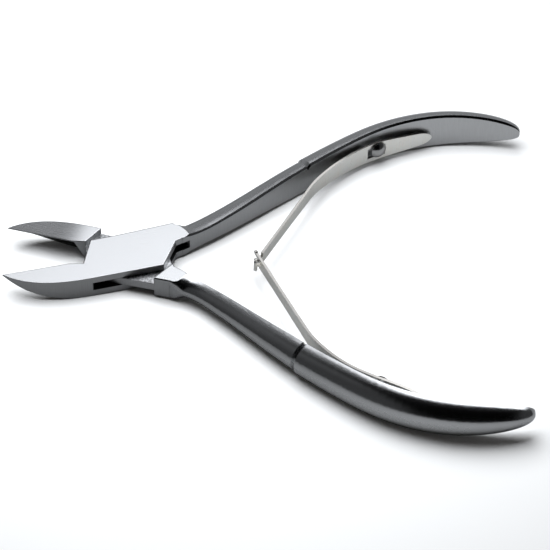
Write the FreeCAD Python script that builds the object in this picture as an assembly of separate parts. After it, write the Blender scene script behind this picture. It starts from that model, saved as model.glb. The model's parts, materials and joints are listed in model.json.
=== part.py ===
import FreeCAD, Part
import math
import os

os.makedirs("parts", exist_ok=True)

# Box-joint cuticle nipper lying flat, shown open under its two leaf springs.
# Millimetres.  Origin where the pivot axis meets the flat underside of the box,
# +X towards the grips, +Y towards the handle of the slotted lever, +Z up.
# Both levers are drawn "closed" (cutting edges on the X axis) about the middle of
# their thickness, turned open, and lifted by half the box thickness at the end.

V = FreeCAD.Vector
Z = V(0, 0, 1)

# ---- driving dimensions ----
half_open = 15.0        # each lever's turn from closed to the resting open place, degrees
box_thick = 5.4         # thickness of box and jaw roots
slot_high = 2.10        # height of the slot through the slotted lever
waist_thick = 1.98      # thickness of the through lever inside that slot
slot_radius = 11.3      # rounded slot ends, about the pivot
pin_radius = 1.75
pin_play = 0.05         # radial play of the waist on the pin
pin_sink = 0.05         # the lower pin end lies this far inside the box face
edge_gap = 0.05         # each cutting edge stops this far short of the closing line
edge_break = 0.18       # small chamfer round the ground flat faces
groove_at = 37.4        # V groove between arm and grip, along the inner face
groove_wide = 1.2
handle_break = 0.45     # chamfer along both edges of the inner face
root_blend = 1.4        # length over which the squared root runs out into the rounded arm

leaf_thick = 0.60
stud_distance = 57.0    # along the inner face from its start
leaf_sag = 0.45         # the window hangs this low on the stud
far_stand = 0.95        # leaf centre off the inner face at the far stud
near_stand = 1.75       # and at the near stud, which is set a little prouder
near_rise = 1.0         # and this much higher
crossing_rise = 0.78    # height of the crossing above mid thickness
hinge_x = 28.4          # where the two leaves cross, on the X axis
neck_half_length = 1.35
neck_half_height = 0.55
fork_half_slot = 0.66
leaf_tip = 2.10         # length of leaf beyond the crossing

head_radius = 1.95
head_high = 0.95
shank_radius = 0.95
shank_depth = 2.2
window_length = 4.7
window_height = 2.9

top = box_thick / 2


def turn(shape, degrees):
    """Copy of a shape turned about the pivot axis."""
    out = shape.copy()
    out.rotate(V(0, 0, 0), Z, degrees)
    return out


def mirror(shape):
    """Mirror image across the closing plane, for the other lever."""
    return shape.mirror(V(0, 0, 0), V(0, 1, 0))


def turned_point(p, degrees):
    a = math.radians(degrees)
    return V(p.x * math.cos(a) - p.y * math.sin(a), p.x * math.sin(a) + p.y * math.cos(a), p.z)


def curve_through(points, start=None, end=None):
    """Smooth edge through points, with optional end directions."""
    c = Part.BSplineCurve()
    if start is None:
        c.interpolate(points)
    else:
        c.interpolate(Points=points, InitialTangent=start, FinalTangent=end)
    return c.toShape()


def line(a, b):
    return Part.makeLine(a, b)


def plate(edges, low, high):
    """Flat solid from a closed loop of edges in the XY plane."""
    face = Part.Face(Part.Wire(Part.__sortEdges__(edges)))
    solid = face.extrude(V(0, 0, high - low))
    solid.translate(V(0, 0, low))
    return solid


def polygon_plate(points, low, high):
    pts = [V(x, y, 0) for x, y in points]
    edges = [line(pts[i], pts[(i + 1) % len(pts)]) for i in range(len(pts))]
    return plate(edges, low, high)


# ---- handle: D-section swept along the inner face ----
inner_points = [
    (10.6, 1.5), (17.0, 3.6), (24.0, 6.6), (32.0, 10.6), (42.5, 15.9), (55.8, 21.7),
    (63.7, 24.4), (72.0, 25.7), (80.0, 25.4), (88.0, 23.5), (96.4, 20.2),
]
inner_edge = curve_through([V(x, y, 0) for x, y in inner_points])


def frame_at(distance):
    """Point, direction and outward normal on the inner face, measured along it."""
    u = inner_edge.getParameterByLength(distance)
    p = inner_edge.valueAt(u)
    t = inner_edge.tangentAt(u)
    return p, t, V(-t.y, t.x, 0)


def evenly(points, count):
    """Points at equal steps of length along a finely drawn path."""
    run = [0.0]
    for i in range(1, len(points)):
        run.append(run[-1] + (points[i] - points[i - 1]).Length)
    picked = []
    k = 0
    for j in range(count):
        goal = run[-1] * j / (count - 1)
        while k < len(run) - 2 and run[k + 1] < goal:
            k += 1
        f = (goal - run[k]) / (run[k + 1] - run[k])
        picked.append(points[k] + (points[k + 1] - points[k]) * f)
    return picked


def d_section(distance, half_height, depth, roundness, inset=0.0):
    """Flat inner face, small chamfers, rounded back; closed wire across the handle.

    roundness is the exponent of the back curve: 2 is an ellipse, larger is boxier.
    inset shrinks the back only, for the groove.
    """
    p, t, n = frame_at(distance)
    h = half_height - inset
    d = depth - inset
    c = min(handle_break, 0.16 * half_height)
    t0 = math.asin(min(1.0, (c / d) ** (roundness / 2)))
    fine = []
    for i in range(241):
        a = t0 + (math.pi - 2 * t0) * i / 240
        back = d * math.sin(a) ** (2 / roundness)
        lift = h * math.copysign(abs(math.cos(a)) ** (2 / roundness), math.cos(a))
        fine.append(p + n * back + Z * lift)
    pts = evenly(fine, 13)
    c_edge = Part.BSplineCurve()
    c_edge.interpolate(Points=pts, Parameters=[i / 12 for i in range(13)])
    z0 = pts[0].z - c
    upper = p + Z * z0
    lower = p - Z * z0
    return Part.Wire([
        line(lower, upper), line(upper, pts[0]), c_edge.toShape(), line(pts[-1], lower),
    ])


def along(table, distance):
    """Smooth value at a distance, through (distance, value) pairs."""
    c = Part.BSplineCurve()
    low, high = table[0][0], table[-1][0]
    c.interpolate(Points=[V(x, y, 0) for x, y in table],
                  Parameters=[(x - low) / (high - low) for x, y in table])
    return c.value((distance - low) / (high - low)).y


def handle(arm_deep, grip_deep):
    """Slim front arm, V groove, fuller grip that tapers to a rounded end."""
    total = inner_edge.Length
    arm_high = [(0, 2.70), (2.5, 2.68), (6.5, 2.32), (12, 2.42), (18, 2.70), (27, 3.25),
                (groove_at, 3.75)]
    arm = []
    for i in range(17):
        s = 1.6 + (groove_at - 1.6) * (i / 16) ** 2.1
        root = math.exp(-(max(0.0, s - 2.0) / root_blend) ** 2)
        arm.append(d_section(s, along(arm_high, s) + 0.38 * root, along(arm_deep, s),
                             2.15 + 6.5 * root))
    grip_start = groove_at + groove_wide
    grip = []
    count = 22
    for i in range(count):
        f = math.sin(math.pi / 2 * i / (count - 1))
        s = grip_start + (total - grip_start) * f
        swell = math.sin(math.pi * min(1.0, f / 1.12)) * 0.75
        taper = math.sqrt(max(0.0, 1 - f ** 6.5))
        h = (3.95 + swell) * taper + 0.42 * f ** 8
        d = (grip_deep - 0.35 * f) * taper ** 0.9 + 0.5 * f ** 8
        grip.append(d_section(s, h, d, 2.3 - 0.2 * f))
    front = Part.makeLoft(arm, True, False)
    # the root is ground flush with the box
    for side in (-1, 1):
        flush = Part.makeBox(16.0, 16.0, 4.0, V(4.0, -4.0, top if side > 0 else -top - 4.0))
        front = front.cut(flush)
    back = Part.makeLoft(grip, True, False)
    neck = Part.makeLoft([
        d_section(groove_at, 3.75, arm_deep[-1][1], 2.15),
        d_section(groove_at + 0.35, 3.78, arm_deep[-1][1], 2.2, 0.55),
        d_section(grip_start, 3.95, grip_deep, 2.3),
    ], True, True)
    return front.fuse([neck, back]).removeSplitter()


# ---- flat part: jaw, box and handle root ----
def same_place(a, b):
    ma = a.valueAt((a.FirstParameter + a.LastParameter) / 2)
    mb = b.valueAt((b.FirstParameter + b.LastParameter) / 2)
    return (ma - mb).Length < 0.7 and abs(ma.z - mb.z) < 1e-6


def flat_blank(root_side, rounding):
    """Ground plate of jaw, box and handle root.

    root_side is how far the back of the handle root stands from the closing plane,
    rounding the radius rolled on to that side.
    """
    tip = V(-28.95, -edge_gap, 0)
    outer = curve_through([tip, V(-25.9, -2.55, 0), V(-21.4, -4.55, 0), V(-16.4, -5.55, 0),
                           V(-10.2, -5.80, 0)])
    corner = [V(-10.2, -5.80, 0), V(6.3, -5.40, 0), V(10.6, 1.5, 0), V(13.3, 2.45, 0),
              V(11.1, root_side, 0), V(-1.8, 6.6, 0), V(-7.9, 6.4, 0), V(-11.0, -0.75, 0),
              V(-14.0, -edge_gap, 0), tip]
    sides = [line(corner[i], corner[i + 1]) for i in range(len(corner) - 1)]
    solid = plate([outer] + sides, -top, top)
    rims = []
    back = []
    for e in solid.Edges:
        m = e.valueAt((e.FirstParameter + e.LastParameter) / 2)
        flat = abs(e.BoundBox.ZMax - e.BoundBox.ZMin) < 1e-6
        cutting = m.x < -11 and m.y > -1.2
        root = m.x > 11 and m.y < 6
        jaw_side = m.y < -3
        if flat and m.y > 6 and m.x > 0:
            back.append(e)
        elif flat and not (cutting or root or jaw_side):
            rims.append(e)
    solid = solid.makeFillet(rounding, back)
    keep = [e for e in solid.Edges if any(same_place(e, r) for r in rims)]
    return solid.makeChamfer(edge_break, keep)


def jaw_trims():
    """Material ground off the jaw: rising underside and hollow inner bevel."""
    a = V(-12.2, 0, -top)
    b = V(-20.8, 0, -1.25)
    c = V(-28.7, 0, top - 0.35)
    arc = Part.Arc(a, b, c).toShape()
    deep = -9.0
    rise = Part.Face(Part.Wire([arc, line(c, V(-34, 0, top)), line(V(-34, 0, top), V(-34, 0, deep)),
                                line(V(-34, 0, deep), V(-12.2, 0, deep)),
                                line(V(-12.2, 0, deep), a)]))
    under = rise.extrude(V(0, 24, 0))
    under.translate(V(0, -12, 0))
    # hollow bevel: part cylinder whose wall passes just under the cutting edge
    edge_y, edge_z = -edge_gap, top - 0.22
    foot_y, foot_z = -3.7, -top
    mid = V(0, (edge_y + foot_y) / 2, (edge_z + foot_z) / 2)
    chord = V(0, foot_y - edge_y, foot_z - edge_z)
    radius = 9.0
    lean = V(0, -chord.z, chord.y)
    lean.normalize()
    centre = mid + lean * math.sqrt(radius ** 2 - (chord.Length / 2) ** 2)
    wheel = Part.makeCylinder(radius, 26.0, V(-35.0, centre.y, centre.z), V(1, 0, 0))
    # the bevel runs out on a slope below the root of the cutting edge
    slope = [V(-36, 0, -9), V(-36, 0, 9), V(-16.6, 0, 9), V(-8.0, 0, -9)]
    stop = Part.Face(Part.makePolygon(slope + [slope[0]])).extrude(V(0, 40, 0))
    stop.translate(V(0, -20, 0))
    return [under, wheel.common(stop)]


def lever_blank(root_side, rounding, arm_deep, grip_deep):
    body = flat_blank(root_side, rounding).cut(jaw_trims())
    return body.fuse(handle(arm_deep, grip_deep)).removeSplitter()


# ---- the two levers, closed ----
# the slotted lever's root carries both cheek plates and is a little stouter
stout = [(0, 5.1), (6, 5.0), (20, 4.8), (groove_at, 4.7)]
slim = [(0, 4.5), (2.5, 4.4), (6.5, 3.65), (12, 3.6), (18, 3.8), (27, 4.15), (groove_at, 4.5)]
blank = lever_blank(7.5, 0.35, stout, 4.9)

slot = Part.makeCylinder(slot_radius, slot_high, V(0, 0, -slot_high / 2))
slot = slot.fuse(polygon_plate([(0, -7), (14.0, 0.0), (13.9, 3.3), (10.3, 5.0), (0, 5)],
                               -slot_high / 2, slot_high / 2))
pin_hole = Part.makeCylinder(pin_radius, 20, V(0, 0, -10))
slotted = blank.cut([slot, pin_hole])

# shoulders of the through lever: the full thickness stops here and the waist begins
recess = [(-11.4, 0.4), (-8.7, -6.2), (-8.3, -7.2), (12.0, -7.2), (12.0, 0.2), (10.3, 0.0),
          (7.6, 5.6), (6.4, 8.2), (-12.5, 8.2), (-12.5, 0.4)]
deep_cut = [polygon_plate(recess, waist_thick / 2, 8), polygon_plate(recess, -8, -waist_thick / 2)]
round_off = Part.makeBox(30, 30, 20, V(-15, -15, -10)).cut(
    Part.makeCylinder(slot_radius - 0.3, 20, V(0, 0, -10)))
waist_ends = round_off.common(polygon_plate(recess, -8, 8))
waist_hole = Part.makeCylinder(pin_radius + pin_play, 20, V(0, 0, -10))
through = lever_blank(6.15, 0.35, slim, 4.8).cut(deep_cut + [waist_ends, waist_hole])
through = mirror(through)

# ---- spring studs and leaves, drawn on the open slotted lever ----
face_p, face_t, face_n = frame_at(stud_distance)
stud_p = turned_point(face_p, half_open)
stud_in = turned_point(face_n, half_open) * -1
stud_along = turned_point(face_t, half_open)


def held_at(stand):
    """Middle of the leaf where the stud holds it."""
    return stud_p + stud_in * stand


def stud(stand, rise):
    """Dome head on a shank; the head holds the leaf down through its window."""
    under = stand + leaf_thick / 2 + 0.42
    profile_r = (head_radius ** 2 + head_high ** 2) / (2 * head_high)
    ball = Part.makeSphere(profile_r, V(0, 0, under + head_high - profile_r))
    cap = ball.common(Part.makeCylinder(head_radius, head_high + 1, V(0, 0, under)))
    shank = Part.makeCylinder(shank_radius, under + shank_depth + 0.1, V(0, 0, -shank_depth))
    body = cap.fuse(shank).removeSplitter()
    turn_to = FreeCAD.Rotation(Z, stud_in)
    body.Placement = FreeCAD.Placement(stud_p + Z * rise, turn_to)
    return body


def leaf_centre_line(stand):
    """Straight from the crossing, a bend, then bowed along the handle to the rear rest."""
    lean = math.radians(64.6)
    d = V(math.cos(lean), math.sin(lean), 0)
    q = V(hinge_x, 0, 0)
    start = q - d * leaf_tip
    straight = q + d * 25.5
    mid_p, mid_t, mid_n = frame_at(stud_distance + 7.3)
    bow = turned_point(mid_p - mid_n * (stand + 0.15), half_open)
    rear_p, rear_t, rear_n = frame_at(stud_distance + 14.9)
    rear = turned_point(rear_p - rear_n * (leaf_thick / 2 + 0.04), half_open)
    rear_dir = turned_point(rear_t + rear_n * 0.12, half_open)
    bend = [straight, V(42.4, 27.8, 0), V(47.2, 33.0, 0), held_at(stand), bow, rear]
    return start, d, bend, rear_dir


def leaf_strip(stand):
    """The bent strip with its thickness, still over-wide in Z."""
    start, d, bend, rear_dir = leaf_centre_line(stand)
    centre = curve_through(bend, d, rear_dir)
    half = leaf_thick / 2
    first = V(-d.y, d.x, 0)
    left = [start + first * half]
    right = [start - first * half]
    rows_l = []
    rows_r = []
    steps = 14
    for i in range(steps + 1):
        u = centre.getParameterByLength(centre.Length * i / steps)
        p = centre.valueAt(u)
        t = centre.tangentAt(u)
        n = V(-t.y, t.x, 0)
        rows_l.append(p + n * half)
        rows_r.append(p - n * half)
    last = centre.tangentAt(centre.LastParameter)
    side_l = curve_through(rows_l, d, last)
    side_r = curve_through(rows_r, d, last)
    edges = [line(left[0], rows_l[0]), side_l, line(rows_l[-1], rows_r[-1]), side_r,
             line(rows_r[0], right[0]), line(right[0], left[0])]
    return plate(edges, -4, 4)


def side_plate(points, direction):
    """Solid from an outline in (distance along the leaf, height), cut square to the leaf."""
    q = V(hinge_x, 0, 0)
    n = V(-direction.y, direction.x, 0)
    pts = [q + direction * s + Z * h for s, h in points]
    face = Part.Face(Part.makePolygon(pts + [pts[0]]))
    solid = face.extrude(n * 60)
    solid.translate(n * -30)
    return solid


def side_profile(rim, direction):
    """Solid whose half height follows the rim, smooth to a rounded far end."""
    q = V(hinge_x, 0, 0)
    n = V(-direction.y, direction.x, 0)
    upper = [q + direction * s + Z * h for s, h in rim]
    lower = [q + direction * s - Z * h for s, h in rim]
    loop = curve_through(upper + lower[-2::-1])
    face = Part.Face(Part.Wire([loop, line(lower[0], upper[0])]))
    solid = face.extrude(n * 60)
    solid.translate(n * -30)
    return solid


def round_bar(direction, s, h, radius):
    """Cylinder square to the leaf, for rounded corners and knobs."""
    q = V(hinge_x, 0, 0)
    n = V(-direction.y, direction.x, 0)
    return Part.makeCylinder(radius, 60, q + direction * s + Z * h - n * 30, n)


def leaf(kind, stand, rise):
    """A leaf with its window; rise is the height of the window's middle."""
    start, d, bend, rear_dir = leaf_centre_line(stand)
    strip = leaf_strip(stand)
    h0 = 1.45
    rim = [(neck_half_length, h0), (15, 1.5), (27, 1.78), (36, 2.2), (43, 2.5), (47, 2.5),
           (50.5, 2.2), (53.6, 1.9), (55.7, 1.3), (56.5, 0.0)]
    body = side_profile(rim, d)
    if kind == "tee":
        w = neck_half_height
        neck = side_plate([(-leaf_tip + 0.3, -w), (neck_half_length + 0.5, -w),
                           (neck_half_length + 0.5, w), (-leaf_tip + 0.3, w)], d)
        bar = side_plate([(-leaf_tip, -1.1), (-neck_half_length, -1.1), (-neck_half_length, 1.1),
                          (-leaf_tip, 1.1)], d)
        ends = [round_bar(d, -(leaf_tip + neck_half_length) / 2, s * 1.1,
                          (leaf_tip - neck_half_length) / 2) for s in (-1, 1)]
        outline = body.fuse([neck, bar] + ends)
    else:
        w = fork_half_slot
        prongs = []
        for s in (-1, 1):
            prongs.append(side_plate([(-leaf_tip + 0.5, s * w), (neck_half_length + 0.2, s * w),
                                      (neck_half_length + 0.2, s * h0), (-leaf_tip + 0.5, s * h0)],
                                     d))
            prongs.append(round_bar(d, -leaf_tip + 0.55, s * (w + 0.55), 0.55))
        outline = body.fuse(prongs)
    shape = strip.common(outline.removeSplitter())
    window = Part.makeBox(window_length, window_height, 12,
                          V(-window_length / 2 - 0.45, -window_height / 2, -6))
    root = held_at(stand)
    hold = FreeCAD.Placement(root, FreeCAD.Rotation(stud_along, Z, stud_in, "XYZ"))
    window.Placement = hold.multiply(window.Placement)
    shape = shape.cut(window)
    tilt = math.degrees(math.atan((crossing_rise - rise) / (root - V(hinge_x, 0, 0)).Length))
    shape.rotate(root, stud_in, -tilt)
    shape.translate(V(0, 0, rise))
    return shape


# each stud sits in a hole of its own in the handle
seat = Part.makeCylinder(shank_radius, shank_depth + 2, stud_p - stud_in * shank_depth, stud_in)
slotted_open = turn(slotted, half_open).cut(seat)
near_seat = seat.translated(V(0, 0, near_rise))
through_open = turn(through, -half_open).cut(mirror(near_seat))
pin = Part.makeCylinder(pin_radius, box_thick - pin_sink, V(0, 0, pin_sink - top))

nodes = {
    "slotted_lever": slotted_open,
    "through_lever": through_open,
    "pivot_pin": pin,
    "leaf_tee": leaf("tee", far_stand, -leaf_sag),
    "leaf_fork": mirror(leaf("fork", near_stand, near_rise - leaf_sag)),
    "stud_far": stud(far_stand, 0.0),
    "stud_near": mirror(stud(near_stand, near_rise)),
}

for name, shape in nodes.items():
    if len(shape.Solids) != 1 or not shape.isValid():
        print("check", name, "solids", len(shape.Solids), "valid", shape.isValid())
    solid = shape.Solids[0]
    solid.translate(V(0, 0, top))
    solid.exportStep("parts/" + name + ".step")
    b = solid.BoundBox
    print(name, "volume %.1f" % solid.Volume, "x %.2f %.2f y %.2f %.2f z %.2f %.2f"
          % (b.XMin, b.XMax, b.YMin, b.YMax, b.ZMin, b.ZMax))
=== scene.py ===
import json
import math

import bmesh
import bpy
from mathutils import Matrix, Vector


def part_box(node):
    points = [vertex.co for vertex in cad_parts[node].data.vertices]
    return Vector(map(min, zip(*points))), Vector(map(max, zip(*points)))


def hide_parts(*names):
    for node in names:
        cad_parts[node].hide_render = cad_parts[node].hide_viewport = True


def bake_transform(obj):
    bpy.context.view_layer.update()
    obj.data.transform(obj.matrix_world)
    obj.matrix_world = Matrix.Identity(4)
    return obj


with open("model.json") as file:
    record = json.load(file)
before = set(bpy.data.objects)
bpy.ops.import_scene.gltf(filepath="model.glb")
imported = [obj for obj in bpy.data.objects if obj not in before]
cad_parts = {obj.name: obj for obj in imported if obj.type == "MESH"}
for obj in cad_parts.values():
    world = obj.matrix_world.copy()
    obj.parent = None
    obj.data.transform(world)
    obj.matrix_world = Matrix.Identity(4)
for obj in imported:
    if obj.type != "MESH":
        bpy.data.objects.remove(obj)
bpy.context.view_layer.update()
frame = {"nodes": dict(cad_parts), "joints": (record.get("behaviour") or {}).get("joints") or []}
nodes = frame["nodes"]
joints = {j["name"]: j for j in frame["joints"]}

MM = 0.001
LEVER_TURN = 15.0          # each lever's turn from closed to rest, degrees
MID_THICK = 2.7            # height of mid thickness above the underside, mm
HOLLOW_TURN = 8.0          # lean of the hollow-ground jaw top at its tip, degrees
EDGE_ROUND = 0.22          # soft rounding of ground edges, mm

# ---------------------------------------------------------------- node helpers


class Graph:
    """Thin wrapper that adds shader nodes and links them in one call."""

    def __init__(self, tree):
        self.tree = tree
        tree.nodes.clear()

    def add(self, kind, inputs=None, **props):
        n = self.tree.nodes.new(kind)
        for k, v in props.items():
            setattr(n, k, v)
        for k, v in (inputs or {}).items():
            self.put(n.inputs[k], v)
        return n

    def put(self, socket, value):
        if isinstance(value, bpy.types.NodeSocket):
            self.tree.links.new(value, socket)
        else:
            socket.default_value = value

    def math(self, op, a, b=0.0):
        return self.add("ShaderNodeMath", {0: a, 1: b}, operation=op).outputs[0]

    def times(self, a, b):
        return self.math("MULTIPLY", a, b)

    def sway(self, base, noise, amount):
        """base plus amount times the noise's distance from its middle."""
        return self.math("ADD", base, self.times(self.math("SUBTRACT", noise, 0.5), amount))

    def vmath(self, op, a, b=(0, 0, 0)):
        n = self.add("ShaderNodeVectorMath", {0: a, 1: b}, operation=op)
        return n.outputs["Value" if op in ("DOT_PRODUCT", "LENGTH") else "Vector"]

    def scaled(self, vector, per_axis):
        return self.vmath("MULTIPLY", vector, per_axis)

    def ramp(self, x, lo, hi, out_lo=0.0, out_hi=1.0):
        """Smooth step from out_lo at lo to out_hi at hi."""
        n = self.add("ShaderNodeMapRange",
                     {"Value": x, "From Min": lo, "From Max": hi,
                      "To Min": out_lo, "To Max": out_hi},
                     interpolation_type="SMOOTHSTEP")
        return n.outputs["Result"]

    def noise(self, vector, scale, detail=2.0, rough=0.5):
        n = self.add("ShaderNodeTexNoise",
                     {"Vector": vector, "Scale": scale, "Detail": detail, "Roughness": rough})
        return n.outputs["Fac"]

    def millimetres(self, turn=0.0):
        """Object coordinates in millimetres, turned about Z by degrees."""
        coord = self.add("ShaderNodeTexCoord").outputs["Object"]
        r = self.add("ShaderNodeVectorRotate",
                     {"Vector": coord, "Angle": math.radians(turn)}, rotation_type="Z_AXIS")
        return self.scaled(r.outputs[0], (1 / MM, 1 / MM, 1 / MM))

    def mix(self, fac, a, b):
        n = self.add("ShaderNodeMix", {0: fac}, data_type="FLOAT")
        self.put(n.inputs[2], a)
        self.put(n.inputs[3], b)
        return n.outputs[0]

    def mix_vector(self, fac, a, b):
        n = self.add("ShaderNodeMix", {0: fac}, data_type="VECTOR")
        self.put(n.inputs[4], a)
        self.put(n.inputs[5], b)
        return n.outputs[1]

    def mix_color(self, fac, a, b):
        n = self.add("ShaderNodeMix", {0: fac}, data_type="RGBA")
        self.put(n.inputs[6], a)
        self.put(n.inputs[7], b)
        return n.outputs[2]

    def tint(self, level, red=None, green=None, blue=None):
        """Colour from one level, with a factor for each channel that differs."""
        parts = [level if k is None else self.times(level, k) for k in (red, green, blue)]
        return self.add("ShaderNodeCombineColor", dict(enumerate(parts))).outputs[0]

    def split(self, vector):
        return self.add("ShaderNodeSeparateXYZ", {0: vector}).outputs

    def turn_space(self, vector, kind, source, target):
        return self.add("ShaderNodeVectorTransform", {0: vector}, vector_type=kind,
                        convert_from=source, convert_to=target).outputs[0]

    def metal(self, color, rough, strength, depth, height, normal=None):
        """Metal surface whose bump is depth millimetres."""
        inputs = {"Strength": strength, "Distance": depth * MM, "Height": height}
        if normal is not None:
            inputs["Normal"] = normal
        bump = self.add("ShaderNodeBump", inputs)
        bsdf = self.add("ShaderNodeBsdfPrincipled",
                        {"Base Color": color, "Metallic": 1.0, "Roughness": rough,
                         "Normal": bump.outputs[0]})
        self.add("ShaderNodeOutputMaterial", {"Surface": bsdf.outputs[0]})


def new_material(name):
    m = bpy.data.materials.new(name)
    m.use_nodes = True
    return m, Graph(m.node_tree)


# ---------------------------------------------------------------- steels


def ground_steel(name, lever_turn, waisted=False, hollow_turn=0.0, edge=EDGE_ROUND):
    """Steel of one lever. Flat faces carry grinding lines along the lever, the inner
    handle face carries lines across it, the rounded back is polished satin.

    waisted adds the bare machined waist inside the box; the other lever gets painted shade,
    near black, on the walls of the slot round it. hollow_turn leans the far part of the jaw's
    top towards its tip, as a slightly hollow-ground face does.
    """
    m, g = new_material(name)
    here = g.millimetres()
    local = g.millimetres(-lever_turn)
    z = g.split(here)[2]
    lx = g.split(local)[0]
    geo = g.add("ShaderNodeNewGeometry")
    face = g.turn_space(geo.outputs["True Normal"], "NORMAL", "WORLD", "OBJECT")
    nz = g.math("ABSOLUTE", g.split(face)[2])
    flat = g.ramp(nz, 0.985, 0.998)
    side = g.ramp(nz, 0.10, 0.02)
    pivot_far = g.vmath("LENGTH", g.scaled(here, (1.0, 1.0, 0.0)))

    # long grinding lines on the flats, short cross lines on the sides
    long_lines = g.noise(g.scaled(local, (0.10, 5.0, 5.0)), 1.0, 3.0, 0.6)
    fine_lines = g.noise(g.scaled(local, (0.35, 20.0, 20.0)), 1.0, 2.0, 0.5)
    cross_lines = g.noise(g.scaled(local, (7.0, 7.0, 0.25)), 1.0, 3.0, 0.6)
    smudge = g.noise(here, 0.09, 3.0, 0.55)
    grain = g.noise(here, 9.0, 2.0, 0.6)
    lines_flat = g.math("ADD", g.times(long_lines, 0.6), g.times(fine_lines, 0.4))
    lines = g.mix(flat, g.mix(side, grain, cross_lines), lines_flat)

    tone = g.sway(g.sway(0.62, lines, 0.16), smudge, 0.05)
    rough = g.mix(flat, g.mix(side, 0.18, 0.34), 0.26)
    rough = g.sway(g.sway(rough, lines, 0.12), smudge, 0.06)
    height = g.times(lines, g.mix(side, g.mix(flat, 0.04, 0.55), 0.45))
    mid = g.math("ABSOLUTE", g.math("SUBTRACT", z, MID_THICK))
    if waisted:
        waist = g.times(g.ramp(mid, 1.10, 1.02), g.ramp(nz, 0.90, 0.97))
        waist = g.times(waist, g.ramp(pivot_far, 14.5, 13.5))
        sparkle = g.noise(here, 1.7, 4.0, 0.72)
        tone = g.mix(waist, tone, g.ramp(sparkle, 0.36, 0.66, 0.26, 0.74))
        rough = g.mix(waist, rough, 0.40)
        height = g.mix(waist, height, g.times(sparkle, 3.5))
    else:
        # painted shade: the walls inside the slot are painted near black
        from_slot = g.vmath("SUBTRACT", local, (1.35, 0.0, 0.0))
        slot_far = g.vmath("LENGTH", g.scaled(from_slot, (1.0, 1.0, 0.0)))
        painted_slot_shade = g.times(g.ramp(mid, 1.12, 1.04), g.ramp(slot_far, 12.75, 12.5))
        tone = g.mix(painted_slot_shade, tone, 0.06)
        rough = g.mix(painted_slot_shade, rough, 0.55)

    # soft edges on jaw, box and root, but not round the flush pin
    soft = g.add("ShaderNodeBevel", {"Radius": edge * MM}, samples=8).outputs[0]
    softened = g.times(g.ramp(pivot_far, 2.4, 2.8), g.ramp(lx, 14.0, 12.5))
    normal = g.mix_vector(softened, geo.outputs["Normal"], soft)
    if hollow_turn:
        lean = g.times(g.ramp(lx, -10.0, -18.5), flat)
        push = g.times(lean, math.tan(math.radians(hollow_turn)))
        turned = math.radians(lever_turn)
        tipward = g.turn_space((-math.cos(turned), -math.sin(turned), 0.0),
                               "VECTOR", "OBJECT", "WORLD")
        pushed = g.add("ShaderNodeVectorMath", {0: tipward, "Scale": push}, operation="SCALE")
        normal = g.vmath("NORMALIZE", g.vmath("ADD", normal, pushed.outputs[0]))
    g.metal(g.tint(tone, red=0.985, blue=1.02), rough, 0.35, 0.010, height, normal)
    return m


def spring_steel(name):
    """Nickel-warm satin of a leaf, with fine marks across the strip."""
    m, g = new_material(name)
    here = g.millimetres()
    marks = g.noise(g.scaled(here, (7.0, 7.0, 0.30)), 1.0, 3.0, 0.6)
    smudge = g.noise(here, 0.25, 3.0, 0.5)
    tone = g.sway(g.sway(1.0, marks, 0.16), smudge, 0.12)
    # the sheared long edges are duller than the rolled faces
    face = g.add("ShaderNodeNewGeometry").outputs["True Normal"]
    nz = g.math("ABSOLUTE", g.split(face)[2])
    tone = g.times(tone, g.ramp(nz, 0.6, 0.9, 1.0, 0.42))
    soft = g.add("ShaderNodeBevel", {"Radius": 0.06 * MM}, samples=4).outputs[0]
    g.metal(g.tint(tone, red=1.03, blue=0.95), g.sway(0.30, marks, 0.14),
            0.3, 0.008, marks, soft)
    return m


def polished_steel(name):
    """Polished dome of a stud: bright, with faint turning marks and smudges."""
    m, g = new_material(name)
    here = g.millimetres()
    smudge = g.noise(here, 1.2, 3.0, 0.5)
    rough = g.math("ADD", 0.13, g.times(smudge, 0.08))
    g.metal(g.tint(g.sway(0.46, smudge, 0.12)), rough,
            0.15, 0.004, g.noise(here, 14.0, 2.0, 0.5))
    return m


def put_material(obj, material):
    for s in obj.material_slots:
        s.material = material
    if not obj.material_slots:
        obj.data.materials.append(material)


put_material(nodes["slotted_lever"], ground_steel("ground_steel_slotted", LEVER_TURN))
put_material(nodes["through_lever"],
             ground_steel("ground_steel_through", -LEVER_TURN, waisted=True,
                          hollow_turn=HOLLOW_TURN))
put_material(nodes["pivot_pin"], ground_steel("ground_steel_pin", LEVER_TURN, edge=0.02))
put_material(nodes["stud_far"], polished_steel("stud_steel_far"))
put_material(nodes["stud_near"], polished_steel("stud_steel_near"))

# ---------------------------------------------------------------- spring leaves

CUT_STEP = 1.0 * MM        # length of each straight bit the leaf is cut into
CROSSING_IN = 1.9 * MM     # the crossing's distance from the leaf's free end


def flexing_leaf(node, joint, material):
    """Copy of a CAD leaf cut into short lengths between stud and crossing."""
    source = nodes[node]
    obj = bpy.data.objects.new(node + "_strip", source.data.copy())
    bpy.context.scene.collection.objects.link(obj)
    lo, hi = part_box(node)
    root = Vector(joints[joint]["pos_m"])
    tip = Vector((lo.x + CROSSING_IN, 0.0, root.z))
    along = (root - tip).normalized()
    bm = bmesh.new()
    bm.from_mesh(obj.data)
    cuts = int((hi - lo).length / CUT_STEP)
    for i in range(-4, cuts + 4):
        bmesh.ops.bisect_plane(bm, geom=bm.verts[:] + bm.edges[:] + bm.faces[:],
                               plane_co=tip + along * (i * CUT_STEP), plane_no=along,
                               dist=1e-7)
    bm.to_mesh(obj.data)
    bm.free()
    put_material(obj, material)
    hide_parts(node)
    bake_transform(obj)


flexing_leaf("leaf_tee", "tee_spring_flex",
             spring_steel("spring_steel_tee"))
flexing_leaf("leaf_fork", "fork_spring_flex",
             spring_steel("spring_steel_fork"))

# ---------------------------------------------------------------- floor

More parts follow.
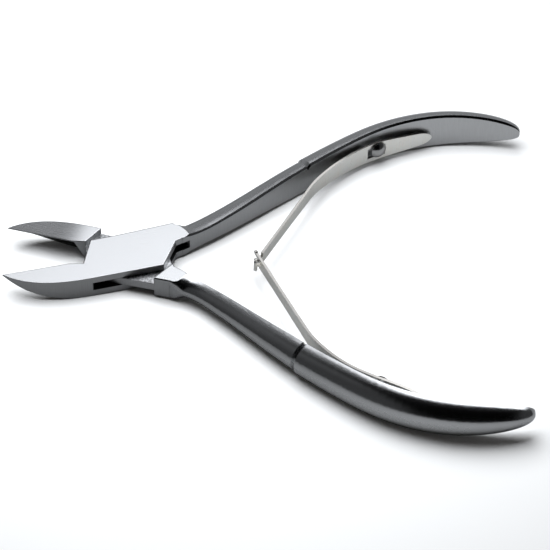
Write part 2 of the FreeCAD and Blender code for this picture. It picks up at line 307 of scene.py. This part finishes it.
FLOOR_SLOPE = 0.0259       # fall towards the grips
FLOOR_TOUCH_X = -14.0 * MM # where the jaws' underside touches it
FLOOR_GAP = 0.02 * MM
FLOOR_SIZE = 6.0


def make_floor():
    """Pale plane that touches the jaws' underside and both grips' undersides."""
    me = bpy.data.meshes.new("floor")
    pts = []
    for sx, sy in ((-1, -1), (1, -1), (1, 1), (-1, 1)):
        px, py = sx * FLOOR_SIZE / 2, sy * FLOOR_SIZE / 2
        pts.append((px, py, -FLOOR_SLOPE * (px - FLOOR_TOUCH_X) - FLOOR_GAP))
    me.from_pydata(pts, [], [(0, 1, 2, 3)])
    obj = bpy.data.objects.new("floor", me)
    bpy.context.scene.collection.objects.link(obj)
    m, g = new_material("floor_white")
    coord = g.add("ShaderNodeTexCoord").outputs["Object"]
    tone = g.sway(0.86, g.noise(coord, 40.0, 3.0, 0.5), 0.01)
    lit = g.add("ShaderNodeBsdfDiffuse", {"Color": g.tint(tone)})
    # painted reflection: the metal mirrors a darker floor than the over-lit one the camera sees,
    # painted darkest towards the jaws
    mirrored = g.ramp(g.split(coord)[0], 0.0, 0.075, 0.15, 0.34)
    dim = g.add("ShaderNodeBsdfDiffuse", {"Color": mirrored})
    path = g.add("ShaderNodeLightPath")
    mixer = g.add("ShaderNodeMixShader", {0: path.outputs["Is Glossy Ray"],
                                          1: lit.outputs[0], 2: dim.outputs[0]})
    g.add("ShaderNodeOutputMaterial", {"Surface": mixer.outputs[0]})
    me.materials.append(m)


make_floor()

# ---------------------------------------------------------------- studio


def studio_world():
    """White backdrop for the camera; for reflections a softbox opposite the viewer whose
    middle stands where flat top faces mirror it, over a dark room.

    tilt is the lean, towards the viewer, of a face that mirrors a direction, in degrees,
    and across is how far that direction lies to the viewer's right.
    """
    world = bpy.data.worlds.new("studio")
    bpy.context.scene.world = world
    world.use_nodes = True
    g = Graph(world.node_tree)
    d = g.add("ShaderNodeTexCoord").outputs["Generated"]
    view = g.turn_space((0.0, 0.0, -1.0), "VECTOR", "CAMERA", "WORLD")
    cx, cy, cz = g.split(g.vmath("NORMALIZE", view))
    level_view = g.add("ShaderNodeCombineXYZ", {0: g.times(cx, -1.0),
                                                1: g.times(cy, -1.0), 2: 0.0}).outputs[0]
    f = g.vmath("NORMALIZE", level_view)
    fx, fy = g.split(f)[:2]
    s = g.add("ShaderNodeCombineXYZ", {0: fy, 1: g.times(fx, -1.0), 2: 0.0}).outputs[0]
    phi = g.math("ARCTAN2", g.split(d)[2], g.vmath("DOT_PRODUCT", d, f))
    raised = g.math("ARCSINE", cz)
    tilt = g.times(g.math("SUBTRACT", phi, raised), math.degrees(0.5))
    across = g.vmath("DOT_PRODUCT", d, s)

    wall = g.ramp(tilt, -24.0, -2.0, 0.30, 0.26)
    box = g.times(g.ramp(tilt, -3.5, 0.5), g.ramp(tilt, 12.0, 19.0, 1.0, 0.0))
    box = g.times(box, g.ramp(across, -0.20, -0.05))
    box = g.times(box, g.ramp(across, 0.55, 0.75, 1.0, 0.0))
    lamp = g.ramp(tilt, -1.0, 9.0, 2.25, 2.9)
    high_left = g.mix(g.ramp(tilt, 0.0, 16.0), 0.22, g.ramp(tilt, 12.0, 40.0, 0.10, 0.05))
    high = g.mix(g.ramp(across, -0.40, -0.62), g.ramp(tilt, 14.0, 34.0, 0.012, 0.001),
                 high_left)
    high = g.mix(g.ramp(tilt, -1.0, 3.0), wall, high)
    near_left = g.times(g.ramp(across, -0.10, -0.16), g.ramp(tilt, 20.0, 8.0))
    high = g.mix(near_left, high, high_left)
    high = g.mix(g.ramp(across, 0.55, 0.75), high, 0.045)
    level = g.mix(box, g.mix(g.ramp(tilt, -2.0, 2.0), wall, high), lamp)
    studio = g.tint(level, red=0.985, blue=1.03)
    path = g.add("ShaderNodeLightPath")
    seen = g.mix_color(path.outputs["Is Camera Ray"], studio, (1.0, 1.0, 1.0, 1.0))
    seen = g.mix_color(path.outputs["Is Diffuse Ray"], seen, (0.050, 0.046, 0.042, 1.0))
    bg = g.add("ShaderNodeBackground", {"Color": seen, "Strength": 1.0})
    g.add("ShaderNodeOutputWorld", {"Surface": bg.outputs[0]})


studio_world()

KEY_PLACE = Vector((0.014, 0.036, 0.172))
KEY_AIM = Vector((0.030, 0.0, 0.0))
KEY_SIZE = 0.20
KEY_POWER = 0.75
KEY_COLOR = (0.95, 0.975, 1.0)


def key_light():
    """Square soft light close above the tool; it leaves no image in the metal."""
    data = bpy.data.lights.new("key", "AREA")
    data.shape = "SQUARE"
    data.size = KEY_SIZE
    data.energy = KEY_POWER
    data.color = KEY_COLOR
    obj = bpy.data.objects.new("key", data)
    bpy.context.scene.collection.objects.link(obj)
    obj.location = KEY_PLACE
    obj.rotation_mode = "QUATERNION"
    obj.rotation_quaternion = (KEY_AIM - KEY_PLACE).to_track_quat("-Z", "Y")
    obj.visible_glossy = False


key_light()

# ---------------------------------------------------------------- camera

CAM_TARGET = Vector((32.03 * MM, -3.67 * MM, MID_THICK * MM))
CAM_AZIMUTH = math.radians(1.07)
CAM_ELEVATION = math.radians(44.0)
CAM_DISTANCE = 0.701
CAM_LENS = 207.2

cam_data = bpy.data.cameras.new("camera")
cam = bpy.data.objects.new("camera", cam_data)
bpy.context.scene.collection.objects.link(cam)
cam_data.sensor_width = 36.0
cam_data.lens = CAM_LENS
cam_data.clip_start, cam_data.clip_end = 0.01, 20.0
back = Vector((math.sin(CAM_AZIMUTH) * math.cos(CAM_ELEVATION),
               -math.cos(CAM_AZIMUTH) * math.cos(CAM_ELEVATION),
               math.sin(CAM_ELEVATION)))
cam.location = CAM_TARGET + back * CAM_DISTANCE
cam.rotation_mode = "QUATERNION"
cam.rotation_quaternion = (-back).to_track_quat("-Z", "Y")
bpy.context.scene.camera = cam

bpy.context.scene.view_settings.view_transform = "Standard"
